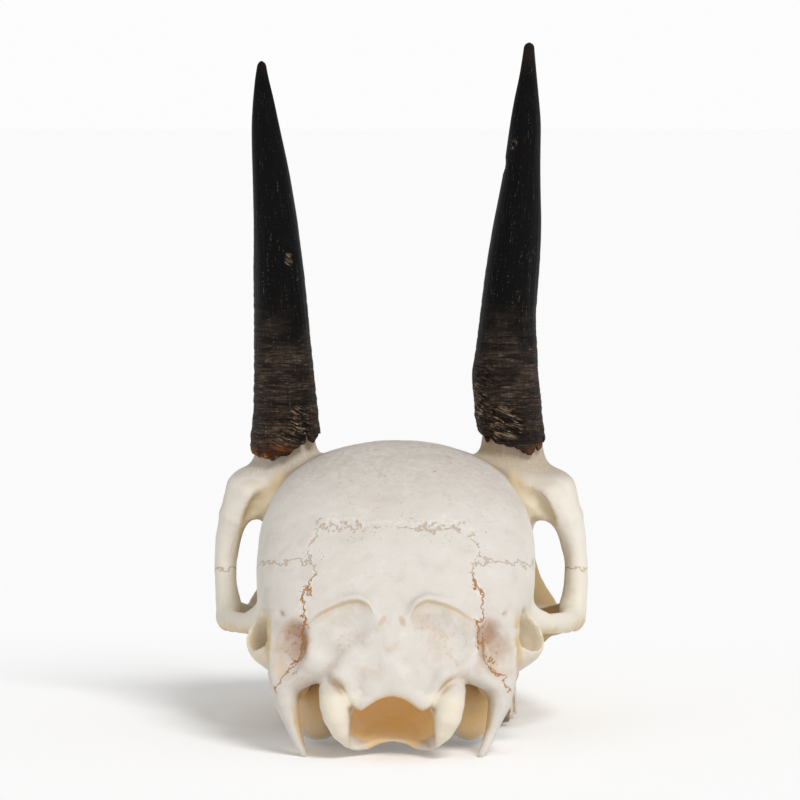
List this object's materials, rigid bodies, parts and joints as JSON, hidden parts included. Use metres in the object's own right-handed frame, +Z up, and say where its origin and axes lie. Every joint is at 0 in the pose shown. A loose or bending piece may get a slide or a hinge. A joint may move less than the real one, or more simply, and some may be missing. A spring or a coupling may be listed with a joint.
{
  "type": "antelope skull",
  "caption": "Life-size cranium of a small antelope with two straight horns and cheek teeth, without the lower jaw.",
  "frame": {"origin": "middle of the footprint on the floor, under the skull at rest on its teeth", "axes": "+Z up, +Y towards the nose, +X towards the animal's right side"},
  "size_m": [0.0718, 0.1329, 0.1296],
  "materials": {
    "bone": "dry matte bone",
    "horn_sheath": "satin horn"
  },
  "bodies": {
    "root": {"braincase": "bone", "occiput": "bone", "muzzle": "bone", "cheekbone_left": "bone", "cheekbone_right": "bone", "horn_left": "horn_sheath", "horn_right": "horn_sheath"}
  },
  "joints": []
}
